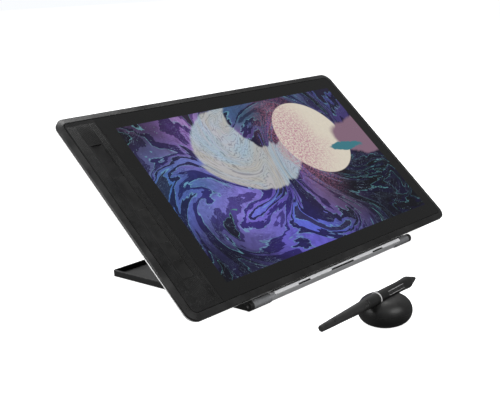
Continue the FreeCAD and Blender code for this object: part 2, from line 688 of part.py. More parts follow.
def make_electronics():
    """The main board with its chips, the two sockets in the top edge, the power button and its switch, and the
    board and domes under the keys."""
    keep(slab("main_board", "106", "60", "1.2", "2", "-8.4", ("60", "79")), on_tablet)
    chips = [box(f"chip_{name}", (f"{x}", f"{y}", "-9.6"), (f"{long}", f"{wide}", "1.2"))
             for name, x, y, long, wide in (("scaler", 48, 70, 18, 18), ("memory", 74, 74, 10, 12),
                                            ("power", 22, 84, 12, 8), ("port", 58, 96, 7, 7))]
    keep(group("board_chips", chips), on_tablet)
    sockets = []
    for name, x in SOCKETS:
        shell = slab(f"socket_shell_{name}", "8.94", "9", "3.2", "0.5", "-7.1",
                     (f"{x}", f"{HALF_WIDTH} - 6.5"))
        mouth = box(f"socket_mouth_{name}", (f"{x} - 4.1", f"{HALF_WIDTH} - 9", "-6.75"), ("8.2", "9", "2.5"))
        tongue = box(f"socket_tongue_{name}", (f"{x} - 3.3", f"{HALF_WIDTH} - 9.5", "-5.85"),
                     ("6.6", "6", "0.7"))
        sockets.append(join(f"socket_{name}", [cut(f"socket_can_{name}", shell, [mouth]), tongue]))
    keep(group("usb_sockets", sockets), on_tablet)
    keep(slab("power_button", "9.6", "10.3", "1.6", "0.5", "-5.7", (f"{POWER_SPOT}", f"{HALF_WIDTH} - 4.65")),
         on_tablet)
    keep(block("power_switch", (f"{POWER_SPOT} - 3", f"{HALF_WIDTH} - 14.4", "-7.2"), ("6", "4", "3")),
         on_tablet)
    keep(slab("key_board", "17", "8 * key_pitch + 4", "0.9", "1", "-6.3", ("key_strip_centre",
                                                                        "key_strip_shift")), on_tablet)
    keep(group("key_domes", [rod(f"key_dome_{number + 1}",
                                 ("key_strip_centre", f"key_strip_shift + {3.5 - number} * key_pitch", "-5.4"),
                                 "3", "1.1") for number in range(8)]), on_tablet)


make_rim_frame()
make_rear_cover()
make_case_fasteners()
make_front_glass()
make_key_panel()
make_keys()
make_display_stack()
make_electronics()

# ---- pen: in the pen's frame, from the nib's point to the tail ---------------------------------------------

ROCKER_MIDDLE = "(rocker_start + rocker_length / 2)"
SLOT_WIDTH = "(rocker_width + 2 * rocker_gap + 2 * trim_edge)"
SLOT_LENGTH = "(rocker_length + 2 * rocker_gap + 2 * trim_edge)"


def make_pen_shells():
    """The pen's outside: a grip with a waist that swells again near the tip, a thin bright ring, a collar, a
    slim tapered tail and its end cap."""
    bore = SIZES["pen_bore"]
    nib_way = SIZES["nib_radius"] + SIZES["nib_slack"]
    end = SIZES["pen_length"]
    ring, step, cap = 67.4, 87.2, end - 4.6
    grip = turned("grip_blank", [(nib_way, 1.8), (1.35, 1.8), (1.6, 2.1), (4.75, 12.6), (5.7, 18.5, 0.35),
                                 (5.15, 30, -0.1), (5.45, 50, -0.08), (5.55, ring), (bore, ring), (bore, 15),
                                 (nib_way, 11)])
    slot = box("rocker_slot", (f"-{SLOT_WIDTH} / 2", "-7", "rocker_start - rocker_gap - trim_edge"),
               (SLOT_WIDTH, "4", SLOT_LENGTH))
    keep(cut("pen_grip", grip, [slot]), on_pen)
    keep(turned("pen_ring", [(bore, ring), (5.55, ring), (5.75, ring + 0.2), (5.75, ring + 1.2),
                             (5.55, ring + 1.4), (bore, ring + 1.4)]), on_pen)
    keep(turned("pen_collar", [(bore, ring + 1.4), (5.5, ring + 1.4), (5.3, step - 0.8), (5, step - 0.4),
                               (4.7, step - 0.4), (4.7, step), (bore, step)]), on_pen)
    keep(turned("pen_tail", [(bore, step), (4.8, step), (5.1, step + 0.3), (5.05, step + 2), (3.15, cap),
                             (2.4, cap), (2.4, cap - 6), (bore, cap - 16)]), on_pen)
    keep(turned("pen_plug", [(0, cap - 5), (2.4, cap - 5), (2.4, cap), (2.95, cap), (3.1, cap + 0.2),
                             (2.95, end - 0.5), (2.45, end), (0, end)]), on_pen)


def make_rocker():
    """The two-way side button, which tilts on a round rib under its middle, and the thin bright frame round
    it."""
    outer = box("trim_outer", (f"-{SLOT_WIDTH} / 2", "-5.35", "rocker_start - rocker_gap - trim_edge"),
                (SLOT_WIDTH, "1.1", SLOT_LENGTH))
    inner = box("trim_inner", ("-rocker_width / 2 - rocker_gap", "-6", "rocker_start - rocker_gap"),
                ("rocker_width + 2 * rocker_gap", "2", "rocker_length + 2 * rocker_gap"))
    keep(cut("rocker_trim", outer, [inner]), on_pen)
    cap = slab("rocker_cap", "rocker_width", "1.25", "rocker_length", "0.4", "rocker_start", ("0", "-5.2"))
    saddle = rod("rocker_saddle", ("-rocker_width", "-45.5", ROCKER_MIDDLE), "40", "2 * rocker_width", "x")
    dished = cut("rocker_dished", cap, [saddle])
    rib = rod("rocker_rib", ("-rocker_width / 2", "-pivot_depth", ROCKER_MIDDLE), "rib_radius", "rocker_width",
              "x")
    keep(join("pen_rocker", [dished, rib]), on_pen)


def make_pen_inside():
    """The nib, the sensor that it presses on, the tuned coil, the circuit board and the rocker's switches."""
    nib = SIZES["nib_radius"]
    nib_way = nib + SIZES["nib_slack"]
    nib_end = 24
    cup = nib_end + 1.5 * SIZES["nib_travel"]
    keep(turned("pen_nib", [(0, 0), (0.35, 0.1), (nib, 2.2), (nib, nib_end), (0, nib_end)]), on_pen)
    keep(turned("pressure_sensor", [(nib_way, 22.6), (1.6, 22.6), (1.6, 28), (0, 28), (0, cup),
                                    (nib_way, cup)]), on_pen)
    keep(tube("pen_coil", ("0", "0", "15.2"), "3.3", "1.7", "7"), on_pen)
    keep(block("pen_board", ("-2.4", "-2.4", "30"), ("4.8", "0.7", "35")), on_pen)
    switches = [box(f"pen_switch_{name}", ("-1.4", "-4.2", f"{ROCKER_MIDDLE} + {offset} - 1.5"),
                    ("2.8", "1.8", "3")) for name, offset in (("front", -7), ("rear", 7))]
    keep(group("pen_switches", switches), on_pen)


# ---- pen holder: in the holder's frame ---------------------------------------------------------------------

def holder_side(height):
    """The radius of the holder's rounded side at a height."""
    bend = SIZES["holder_height"] / 2
    return SIZES["holder_radius"] - bend + math.sqrt(bend ** 2 - (height - bend) ** 2)


def arc_bulge(low, high):
    """How far the side's arc between two heights stands out from its chord."""
    bend = SIZES["holder_height"] / 2
    chord = math.hypot(holder_side(high) - holder_side(low), high - low)
    return bend - math.sqrt(bend ** 2 - (chord / 2) ** 2)


def make_holder():
    """A round pebble in two halves: the base carries spare nibs and the nib puller, the top turns off it and
    has a groove for the pen."""
    split = SIZES["holder_split"]
    boss = SIZES["boss_radius"]
    foot = 0.7
    base = turned("holder_base_blank", [(0, foot), (holder_side(foot), foot),
                                        (holder_side(split), split, arc_bulge(foot, split)), (boss, split),
                                        (boss, SIZES["boss_height"] - 0.8), (boss - 0.8, SIZES["boss_height"]),
                                        (0, SIZES["boss_height"])])
    holes = [tube("foot_seat", ("0", "0", f"{foot}"), "15", "9.5", "0.8"),
             rod("puller_way", ("0", "0", "0"), "1.3", "boss_height + 1"),
             rod("puller_seat", ("0", "0", "0"), "2.8", f"{foot} + 2")]
    nibs = []
    for number in range(8):
        x = f"spare_nib_circle * cos({number * 45} * 1 deg)"
        y = f"spare_nib_circle * sin({number * 45} * 1 deg)"
        holes.append(rod(f"nib_hole_{number}", (x, y, "5.5"), "1.1", "boss_height"))
        nibs.append(rod(f"spare_nib_{number}", (x, y, "5.5"), "1", "12"))
    keep(cut("holder_base", base, holes), on_holder)
    keep(group("spare_nibs", nibs), on_holder)
    keep(tube("holder_foot", ("0", "0", "0"), "15", "9.5", f"{foot} + 0.8"), on_holder)
    keep(tube("nib_puller", ("0", "0", f"{foot}"), "2.8", "1.3", "2"), on_holder)

    height = SIZES["holder_height"]
    crown = holder_side(height)
    seam = 0.25
    store = SIZES["store_radius"]
    roof = SIZES["store_height"]
    top = turned("holder_top_blank", [(0, height), (0, roof), (store - 1, roof),
                                      (store, roof - 1), (store, split + seam),
                                      (holder_side(split + seam), split + seam),
                                      (crown, height, arc_bulge(split + seam, height))])
    groove = rod("pen_groove", ("-(holder_radius + 1) * cos(pen_yaw * 1 deg)",
                                "-(holder_radius + 1) * sin(pen_yaw * 1 deg)", "pen_rise"),
                 "groove_radius", "2 * holder_radius + 2", "x")
    level = FreeCAD.Rotation(FreeCAD.Vector(0, 0, 1), SIZES["pen_yaw"])
    groove.Placement.Rotation = level * groove.Placement.Rotation
    keep(cut("holder_top", top, [groove]), on_holder)


make_pen_shells()
make_rocker()
make_pen_inside()
make_holder()


def write_parts():
    """Check every object and write each sub-part to its own STEP file."""
    doc.recompute()
    for thing in doc.Objects:
        if {"Invalid", "Error"} & set(thing.State):
            raise RuntimeError(f"{thing.Name} did not rebuild: {thing.State}")
    os.makedirs("parts", exist_ok=True)
    for thing in sub_parts:
        thing.Label = thing.Name
        if thing.Shape.isNull() or not thing.Shape.isValid():
            raise RuntimeError(f"{thing.Name} has no valid shape")
        thing.Shape.exportStep(f"parts/{thing.Label}.step")
        print(f"{thing.Label}: {len(thing.Shape.Solids)} solids, {thing.Shape.Volume:.1f} mm3")


write_parts()
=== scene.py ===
import json
import math

import bpy
from mathutils import Matrix, Vector


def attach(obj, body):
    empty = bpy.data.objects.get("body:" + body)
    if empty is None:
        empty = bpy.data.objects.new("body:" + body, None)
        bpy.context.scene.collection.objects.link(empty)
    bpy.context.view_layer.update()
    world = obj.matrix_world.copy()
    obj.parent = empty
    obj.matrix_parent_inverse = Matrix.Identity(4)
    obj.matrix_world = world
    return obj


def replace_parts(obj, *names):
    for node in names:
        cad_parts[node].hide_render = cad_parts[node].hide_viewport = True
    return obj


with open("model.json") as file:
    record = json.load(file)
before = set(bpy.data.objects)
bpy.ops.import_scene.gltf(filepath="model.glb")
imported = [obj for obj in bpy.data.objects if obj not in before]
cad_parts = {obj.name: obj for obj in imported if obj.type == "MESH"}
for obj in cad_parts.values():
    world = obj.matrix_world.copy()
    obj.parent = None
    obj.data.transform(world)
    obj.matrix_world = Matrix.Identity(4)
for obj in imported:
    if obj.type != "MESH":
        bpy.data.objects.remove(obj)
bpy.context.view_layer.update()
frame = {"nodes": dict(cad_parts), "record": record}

nodes = frame["nodes"]
jointOf = {joint["name"]: joint for joint in frame["record"]["behaviour"]["joints"]}
mm = 0.001
print("frame loaded")

# ---- where things are -------------------------------------------------------------------------------------

slopeAxis = Vector(jointOf["tablet_lift"]["axis"])  # up the slope, to within 0.01 degrees
lean = math.atan2(slopeAxis.z, slopeAxis.y)


def tiltedBox(node):
    # a node's lowest and highest corners in axes turned with the tablet, about the world's origin
    turnFlat = Matrix.Rotation(-lean, 3, "X")
    points = [turnFlat @ vertex.co for vertex in nodes[node].data.vertices]
    low = Vector(min(point[axis] for point in points) for axis in range(3))
    high = Vector(max(point[axis] for point in points) for axis in range(3))
    return low, high


def tabletPoint(x, y, z):
    # a point given from the middle of the tablet's front face
    return Matrix.Rotation(lean, 3, "X") @ (faceMiddle + Vector((x, y, z)))


rimLow, rimHigh = tiltedBox("rim_frame")
faceMiddle = Vector(((rimLow.x + rimHigh.x) / 2, (rimLow.y + rimHigh.y) / 2, rimHigh.z))
cadPanelLow, cadPanelHigh = tiltedBox("display_panel")
pictureMargin = 3 * mm  # the display panel is larger than the lit picture by this much each side
pictureMiddle = (cadPanelLow + cadPanelHigh) / 2 - faceMiddle
pictureHalf = (cadPanelHigh - cadPanelLow) / 2 - Vector((pictureMargin, pictureMargin, 0))
print("tablet face", tabletPoint(0, 0, 0), "picture", pictureMiddle, pictureHalf)

# ---- shader helpers ---------------------------------------------------------------------------------------


def addNode(tree, kind, inputs=None, **settings):
    node = tree.nodes.new("ShaderNode" + kind)
    for name, value in settings.items():
        setattr(node, name, value)
    for key, value in (inputs or {}).items():
        if isinstance(value, bpy.types.NodeSocket):
            tree.links.new(value, node.inputs[key])
        else:
            node.inputs[key].default_value = value
    return node


def calc(tree, operation, *values, clamp=False):
    inputs = dict(enumerate(values))
    return addNode(tree, "Math", inputs, operation=operation, use_clamp=clamp).outputs[0]


def blendColours(tree, factor, under, over, how="MIX"):
    node = addNode(tree, "Mix", {0: factor, 6: under, 7: over}, data_type="RGBA", blend_type=how)
    return node.outputs[2]


def spread(tree, value, low, high, to=(0, 1), how="LINEAR"):
    # a value mapped from one range to another, and held at its ends
    inputs = {"Value": value, "From Min": low, "From Max": high, "To Min": to[0], "To Max": to[1]}
    return addNode(tree, "MapRange", inputs, interpolation_type=how).outputs["Result"]


def colourRamp(tree, factor, stops, how="LINEAR"):
    node = addNode(tree, "ValToRGB", {"Fac": factor})
    elements = node.color_ramp.elements
    node.color_ramp.interpolation = how
    while len(elements) < len(stops):
        elements.new(1)
    for element, (place, colour) in zip(elements, stops):
        element.position = place
        element.color = (*colour, 1)
    return node.outputs["Color"]


def noise(tree, place, scale, detail=2.0, rough=0.5, distortion=0.0):
    inputs = {"Vector": place, "Scale": scale, "Detail": detail, "Roughness": rough, "Distortion": distortion}
    return addNode(tree, "TexNoise", inputs)


def shade(grey):
    return (grey, grey, grey)


def startMaterial(name):
    material = bpy.data.materials.new(name)
    material.use_nodes = True
    tree = material.node_tree
    return material, tree, tree.nodes["Principled BSDF"]


def setShader(tree, shader, **values):
    for label, value in values.items():
        socket = shader.inputs[label.replace("_", " ")]
        if isinstance(value, bpy.types.NodeSocket):
            tree.links.new(value, socket)
        else:
            socket.default_value = value


# ---- camera, floor and light ------------------------------------------------------------------------------

cameraLook = {
    "place": (-0.72646, -0.64722, 0.29761),
    "turn": (76.7814, 3.0477, -48.0975),
    "lens": 64.59,
}
floorLook = {"size": 60, "seenGlow": 0.86, "seenColour": 0.8, "mirroredColour": 0.16}
skyLook = {"seen": 1.0, "strength": 0.2, "colour": (0.96, 0.98, 1.0)}
lamps = {
    "leftSoftbox": {"place": (-1.6, 0.4, 0.9), "aim": (-0.2, 0.0, 0.1), "size": (1.2, 1.0), "watts": 20},
    "topSoftbox": {"place": (0.3, 0.9, 1.9), "aim": (0.0, 0.0, 0.05), "size": (1.6, 1.2), "watts": 40},
    "frontFill": {"place": (-0.3, -2.2, 1.3), "aim": (0.0, -0.1, 0.1), "size": (1.6, 1.0), "watts": 36},
    "sideCard": {"place": (-0.72, 0.36, 0.006), "aim": (-0.72, 0.36, 1), "size": (0.8, 0.85), "watts": 3.2},
    "lipCard": {"place": (0.1, -0.75, 0.006), "aim": (0.1, -0.75, 1), "size": (1.2, 0.5), "watts": 3.4},
}


def makeCamera():
    data = bpy.data.cameras.new("camera")
    data.lens = cameraLook["lens"]
    data.sensor_width = 36
    data.clip_end = 60
    camera = bpy.data.objects.new("camera", data)
    camera.location = cameraLook["place"]
    camera.rotation_euler = [math.radians(angle) for angle in cameraLook["turn"]]
    bpy.context.scene.collection.objects.link(camera)
    bpy.context.scene.camera = camera


def makeLamp(name, look):
    data = bpy.data.lights.new(name, "AREA")
    data.shape = "RECTANGLE"
    data.size, data.size_y = look["size"]
    data.energy = look["watts"]
    lamp = bpy.data.objects.new(name, data)
    lamp.location = look["place"]
    lamp.visible_camera = False
    lamp.rotation_euler = (Vector(look["aim"]) - Vector(look["place"])).to_track_quat("-Z", "Y").to_euler()
    bpy.context.scene.collection.objects.link(lamp)


def makeFloorPaper():
    # bright where it is looked at, and dim in what the black parts mirror
    paper, tree, shader = startMaterial("floorPaper")
    seen = addNode(tree, "LightPath").outputs["Is Camera Ray"]
    tone = spread(tree, seen, 0, 1, (floorLook["mirroredColour"], floorLook["seenColour"]))
    glow = calc(tree, "MULTIPLY", seen, floorLook["seenGlow"])
    setShader(tree, shader, Base_Color=tone, Roughness=0.8, Specular_IOR_Level=0.05,
              Emission_Color=(1, 1, 1, 1), Emission_Strength=glow)
    return paper


def makeSky():
    sky = bpy.data.worlds.new("studio")
    sky.use_nodes = True
    tree = sky.node_tree
    seen = addNode(tree, "LightPath").outputs["Is Camera Ray"]
    light = tree.nodes["Background"]
    light.inputs["Color"].default_value = (*skyLook["colour"], 1)
    tree.links.new(spread(tree, seen, 0, 1, (skyLook["strength"], skyLook["seen"])), light.inputs["Strength"])
    return sky


def makeStage():
    bpy.ops.object.select_all(action="DESELECT")
    bpy.ops.mesh.primitive_plane_add(size=floorLook["size"], location=(0, 0, 0))
    floor = bpy.context.object
    floor.name = "floor"
    floor.data.materials.append(makeFloorPaper())
    bpy.context.scene.world = makeSky()
    bpy.context.scene.view_settings.view_transform = "Standard"


makeCamera()
for lampName, lampLook in lamps.items():
    makeLamp(lampName, lampLook)
makeStage()
print("camera, floor and light ready")

def objectPlace(tree):
    return addNode(tree, "TexCoord").outputs["Object"]


def onTabletFace(tree):
    # the place on the tablet, from the middle of its front face, with Y up the slope and Z out of the glass
    middle = tabletPoint(0, 0, 0)
    inputs = {"Vector": objectPlace(tree), "Location": middle, "Rotation": (lean, 0, 0)}
    return addNode(tree, "Mapping", inputs, vector_type="TEXTURE").outputs["Vector"]


# ---- effects that several finishes share ------------------------------------------------------------------


def newGroup(name, inputs, outputs):
    tree = bpy.data.node_groups.new(name, "ShaderNodeTree")
    for label, value in inputs.items():
        socket = tree.interface.new_socket(label, in_out="INPUT", socket_type="NodeSocketFloat")
        socket.default_value = value
    for label in outputs:
        tree.interface.new_socket(label, in_out="OUTPUT", socket_type="NodeSocketFloat")
    return tree, tree.nodes.new("NodeGroupInput"), tree.nodes.new("NodeGroupOutput")


def makeGrainGroup():
    # moulded or blasted texture: fine height for a bump, and a slow tone for colour and gloss
    tree, given, result = newGroup("surfaceGrain", {"Scale": 2500, "Softness": 0.5}, ("Height", "Tone"))
    place = objectPlace(tree)
    fine = noise(tree, place, given.outputs["Scale"], 3, 0.6).outputs["Fac"]
    slowScale = calc(tree, "MULTIPLY", given.outputs["Scale"], 0.018)
    slow = noise(tree, place, slowScale, 4, 0.55).outputs["Fac"]
    inputs = {0: given.outputs["Softness"], 2: fine, 3: slow}
    mixed = addNode(tree, "Mix", inputs, data_type="FLOAT").outputs[0]
    tree.links.new(mixed, result.inputs["Height"])
    tree.links.new(spread(tree, slow, 0.3, 0.7), result.inputs["Tone"])
    return tree


def makeWearAndHighlightGroup():
    # where hands and tables polish the corners, and where edges catch the light: a soft-edge mask broken up
    # by noise, for wear and a painted edge highlight
    tree, given, result = newGroup("edgeWearAndHighlight", {"Radius": 0.0005, "Amount": 0.5}, ("Mask",))
    rounded = addNode(tree, "Bevel", {"Radius": given.outputs["Radius"]}, samples=4).outputs["Normal"]
    sharp = addNode(tree, "NewGeometry").outputs["Normal"]
    agree = addNode(tree, "VectorMath", {0: rounded, 1: sharp}, operation="DOT_PRODUCT").outputs["Value"]
    edge = spread(tree, agree, 0.995, 0.9)
    patches = spread(tree, noise(tree, objectPlace(tree), 180, 4, 0.65).outputs["Fac"], 0.35, 0.6)
    mask = calc(tree, "MULTIPLY", calc(tree, "MULTIPLY", edge, patches), given.outputs["Amount"], clamp=True)
    tree.links.new(mask, result.inputs["Mask"])
    return tree


def makeDustGroup():
    # a thin film that settles on what faces up, with a few finger marks
    tree, given, result = newGroup("dustFilm", {"Amount": 0.3}, ("Mask",))
    facing = addNode(tree, "SeparateXYZ", {0: addNode(tree, "TexCoord").outputs["Normal"]}).outputs["Z"]
    upward = spread(tree, facing, 0.3, 1.0)
    place = objectPlace(tree)
    film = spread(tree, noise(tree, place, 35, 5, 0.6).outputs["Fac"], 0.35, 0.75)
    specks = spread(tree, noise(tree, place, 1400, 2, 0.5).outputs["Fac"], 0.66, 0.74)
    layer = calc(tree, "MAXIMUM", calc(tree, "MULTIPLY", film, 0.6), specks)
    mask = calc(tree, "MULTIPLY", calc(tree, "MULTIPLY", layer, upward), given.outputs["Amount"], clamp=True)
    tree.links.new(mask, result.inputs["Mask"])
    return tree


surfaceGrain = makeGrainGroup()
edgeWearAndHighlight = makeWearAndHighlightGroup()
dustFilm = makeDustGroup()


def useGroup(tree, group, **values):
    node = tree.nodes.new("ShaderNodeGroup")
    node.node_tree = group
    for label, value in values.items():
        node.inputs[label].default_value = value
    return node.outputs


finishDefaults = {
    "colour": shade(0.03), "light": None, "rough": 0.5, "roughSpread": 0.08, "metal": 0.0, "specular": 0.5,
    "grain": 2500, "depth": 0.02, "soft": 0.25,
    "wearAndHighlight": 0.25, "wearAndHighlightRadius": 0.0005, "wearAndHighlightColour": shade(0.12), "wearMetal": 0.0, "dust": 0.12,
}


def makeFinish(name, look):
    # a moulded, painted or metal surface: grain, slow tone, worn corners with a painted edge highlight, and a
    # little dust
    look = {**finishDefaults, **look}
    material, tree, shader = startMaterial(name)
    grain = useGroup(tree, surfaceGrain, Scale=look["grain"], Softness=look["soft"])
    light = look["light"] or tuple(min(1, part * 1.25 + 0.004) for part in look["colour"])
    colour = blendColours(tree, grain["Tone"], (*look["colour"], 1), (*light, 1))
    roughEnds = (look["rough"] - look["roughSpread"], look["rough"] + look["roughSpread"])
    rough = spread(tree, grain["Tone"], 0, 1, roughEnds)
    metal = look["metal"]
    if look["wearAndHighlight"]:
        wornAndHighlit = useGroup(tree, edgeWearAndHighlight, Radius=look["wearAndHighlightRadius"], Amount=look["wearAndHighlight"])["Mask"]
        # edges painted lighter: partly wear, partly a painted highlight along the edges
        colour = blendColours(tree, wornAndHighlit, colour, (*look["wearAndHighlightColour"], 1))
        rough = calc(tree, "SUBTRACT", rough, calc(tree, "MULTIPLY", wornAndHighlit, 0.15))
        if look["wearMetal"]:
            metal = calc(tree, "MULTIPLY", wornAndHighlit, look["wearMetal"])
    if look["dust"]:
        dusty = useGroup(tree, dustFilm, Amount=look["dust"])["Mask"]
        colour = blendColours(tree, dusty, colour, (0.32, 0.31, 0.3, 1))
        rough = calc(tree, "ADD", rough, calc(tree, "MULTIPLY", dusty, 0.4), clamp=True)
    inputs = {"Strength": 1.0, "Distance": look["depth"] * mm, "Height": grain["Height"]}
    relief = addNode(tree, "Bump", inputs)
    setShader(tree, shader, Base_Color=colour, Roughness=rough, Metallic=metal,
              Specular_IOR_Level=look["specular"],
              Normal=relief.outputs["Normal"])
    return material


def dress(material, *names):
    for name in names:
        thing = nodes[name]
        if thing.material_slots:
            thing.material_slots[0].material = material
        else:
            thing.data.materials.append(material)


# ---- stand ------------------------------------------------------------------------------------------------

blackPowder = {"colour": shade(0.009), "rough": 0.44, "roughSpread": 0.03, "dust": 0.03, "grain": 3200,
               "depth": 0.05, "specular": 0.45,
               "wearAndHighlight": 0.5, "wearAndHighlightColour": shade(0.16)}
gunmetal = {"colour": (0.36, 0.365, 0.38), "rough": 0.22, "metal": 0.6, "grain": 5000, "depth": 0.01,
            "wearAndHighlight": 0.3, "wearAndHighlightColour": shade(0.5)}
silverRail = {"colour": (0.88, 0.88, 0.9), "light": (0.93, 0.93, 0.95), "rough": 0.3, "roughSpread": 0.02,
              "metal": 0.15, "grain": 5500, "depth": 0.02,
              "wearAndHighlight": 0.2, "wearAndHighlightColour": shade(0.95), "dust": 0.0}
steel = {"colour": shade(0.52), "rough": 0.25, "metal": 1.0, "grain": 6000, "depth": 0.01, "wearAndHighlight": 0.0}
blackScrew = {"colour": shade(0.02), "rough": 0.35, "metal": 0.6, "wearAndHighlight": 0.6, "wearAndHighlightColour": shade(0.3)}
rubber = {"colour": shade(0.012), "rough": 0.78, "grain": 2200, "depth": 0.05, "specular": 0.3, "wearAndHighlight": 0.2}

dress(makeFinish("blackPowder", blackPowder), "base_tray", "support_plate")
dress(makeFinish("gunmetal", gunmetal), "hinge_barrel_left", "hinge_barrel_right")
dress(makeFinish("silverRail", silverRail), "lip_rail")
dress(makeFinish("steel", steel), "pivot_screws", "hinge_shafts", "friction_clips", "usb_sockets",
      "nib_puller", "key_domes", "shield_sheet", "backlight_tray")
dress(makeFinish("blackScrew", blackScrew), "plate_screws", "case_screws")
dress(makeFinish("rubber", rubber), "base_feet", "lip_pads", "lip_liner", "plate_pads", "rear_feet",
      "holder_foot")
print("stand dressed")

# ---- tablet -----------------------------------------------------------------------------------------------

rimBlack = {"colour": shade(0.007), "rough": 0.32, "grain": 3000, "depth": 0.03, "specular": 0.5, "wearAndHighlight": 0.4}
keyBlack = {"colour": shade(0.006), "rough": 0.34, "specular": 0.25, "grain": 3200, "depth": 0.02,
            "wearAndHighlight": 0.5}
boardGreen = {"colour": (0.01, 0.09, 0.035), "rough": 0.4, "grain": 900, "depth": 0.02, "wearAndHighlight": 0}
chipBlack = {"colour": shade(0.015), "rough": 0.55, "grain": 4000, "wearAndHighlight": 0}
foamTape = {"colour": shade(0.01), "rough": 0.9, "grain": 1500, "depth": 0.1, "wearAndHighlight": 0}
panelCell = {"colour": (0.03, 0.033, 0.04), "rough": 0.15, "wearAndHighlight": 0, "depth": 0.002}
clearGuide = {"colour": (0.75, 0.78, 0.8), "rough": 0.2, "wearAndHighlight": 0, "depth": 0.005}

dress(makeFinish("rimBlack", rimBlack), "rim_frame")
dress(makeFinish("keyBlack", keyBlack), *[f"key_{number}" for number in range(1, 9)], "power_button")
dress(makeFinish("boardGreen", boardGreen), "main_board", "pen_sensor", "led_strip", "key_board", "pen_board")
dress(makeFinish("chipBlack", chipBlack), "board_chips", "power_switch", "pressure_sensor", "pen_switches")
dress(makeFinish("foamTape", foamTape), "glass_tape")
dress(makeFinish("panelCell", panelCell), "display_panel")
dress(makeFinish("clearGuide", clearGuide), "light_guide")

coverLook = {"colour": shade(0.014), "rough": 0.4, "grain": 4200, "depth": 0.04,
             "edgeLow": -6.1 * mm, "edgeHigh": -4.0 * mm, "edgeColour": shade(0.95), "edgeRough": 0.2}


def makeCoverFinish(look):
    # textured black anodising, with the cut edge of the aluminium left bright all round
    material, tree, shader = startMaterial("coverBlack")
    grain = useGroup(tree, surfaceGrain, Scale=look["grain"], Softness=0.2)
    height = addNode(tree, "SeparateXYZ", {0: onTabletFace(tree)}).outputs["Z"]
    above = spread(tree, height, look["edgeLow"] - 0.05 * mm, look["edgeLow"] + 0.05 * mm)
    below = spread(tree, height, look["edgeHigh"] + 0.05 * mm, look["edgeHigh"] - 0.05 * mm)
    bright = calc(tree, "MULTIPLY", above, below)
    wornAndHighlit = useGroup(tree, edgeWearAndHighlight, Radius=0.0006, Amount=0.4)["Mask"]
    dusty = useGroup(tree, dustFilm, Amount=0.1)["Mask"]
    black = blendColours(tree, grain["Tone"], (*look["colour"], 1), (*shade(0.022), 1))
    # edges painted lighter, partly wear and partly a painted edge highlight, and dust on what faces up
    black = blendColours(tree, calc(tree, "MAXIMUM", wornAndHighlit, dusty), black, (*shade(0.2), 1))
    setShader(tree, shader,
              Base_Color=blendColours(tree, bright, black, (*look["edgeColour"], 1)),
              Metallic=calc(tree, "MULTIPLY", bright, 0.25),
              Roughness=spread(tree, bright, 0, 1, (look["rough"], look["edgeRough"])),
              Normal=addNode(tree, "Bump", {"Strength": 1.0, "Distance": look["depth"] * mm,
                                            "Height": grain["Height"]}).outputs["Normal"])
    return material


dress(makeCoverFinish(coverLook), "rear_cover")

panelLook = {"colour": shade(0.003), "light": shade(0.006), "rough": 0.5, "ribPitch": 1.7 * mm,
             "ribDepth": 0.2 * mm}


def makePanelFinish(look):
    # fine ribs along the band beside the glass, with painted shade: the rib crests are painted lighter than
    # the grooves
    material, tree, shader = startMaterial("panelBlack")
    place = addNode(tree, "SeparateXYZ", {0: onTabletFace(tree)}).outputs
    phase = calc(tree, "MULTIPLY", place["X"], 2 * math.pi / look["ribPitch"])
    rib = spread(tree, calc(tree, "SINE", phase), -1, 1)
    grain = useGroup(tree, surfaceGrain, Scale=3500, Softness=0.3)
    dusty = useGroup(tree, dustFilm, Amount=0.15)["Mask"]
    # painted shade: lighter on the rib crests, darker in the grooves
    colour = blendColours(tree, rib, (*look["colour"], 1), (*look["light"], 1))
    relief = addNode(tree, "Bump", {"Strength": 0.8, "Distance": look["ribDepth"], "Height": rib})
    fine = addNode(tree, "Bump", {"Strength": 0.6, "Distance": 0.02 * mm, "Height": grain["Height"],
                                  "Normal": relief.outputs["Normal"]})
    setShader(tree, shader, Base_Color=blendColours(tree, dusty, colour, (*shade(0.25), 1)),
              Roughness=spread(tree, grain["Tone"], 0, 1, (look["rough"] - 0.06, look["rough"] + 0.06)),
              Specular_IOR_Level=0.2, Normal=fine.outputs["Normal"])
    return material


dress(makePanelFinish(panelLook), "key_panel")
print("tablet dressed")

# ---- pen and holder ---------------------------------------------------------------------------------------

penRubber = {"colour": shade(0.007), "rough": 0.42, "grain": 3800, "depth": 0.03, "specular": 0.4,
             "wearAndHighlight": 0.2}
penSatin = {"colour": shade(0.016), "rough": 0.3, "grain": 4200, "depth": 0.01, "wearAndHighlight": 0.2}
ringSilver = {"colour": shade(0.85), "rough": 0.2, "metal": 0.5, "grain": 7000, "depth": 0.005, "wearAndHighlight": 0}
holderBlack = {"colour": shade(0.006), "rough": 0.4, "specular": 0.34, "grain": 3000, "depth": 0.03,
               "wearAndHighlight": 0.3}
copperWire = {"colour": (0.6, 0.22, 0.08), "rough": 0.3, "metal": 1.0, "grain": 3000, "wearAndHighlight": 0}

dress(makeFinish("penRubber", penRubber), "pen_grip", "pen_collar")
dress(makeFinish("penSatin", penSatin), "pen_tail", "pen_plug", "pen_rocker", "pen_nib", "spare_nibs")
dress(makeFinish("ringSilver", ringSilver), "pen_ring", "rocker_trim")
dress(makeFinish("holderBlack", holderBlack), "holder_top", "holder_base")
dress(makeFinish("copperWire", copperWire), "pen_coil")
print("pen and holder dressed")

# ---- screen -----------------------------------------------------------------------------------------------


def paint(red, green, blue):
    # a colour as it should be seen, turned into the amount of light
    return tuple((part / 255) ** 2.2 for part in (red, green, blue))


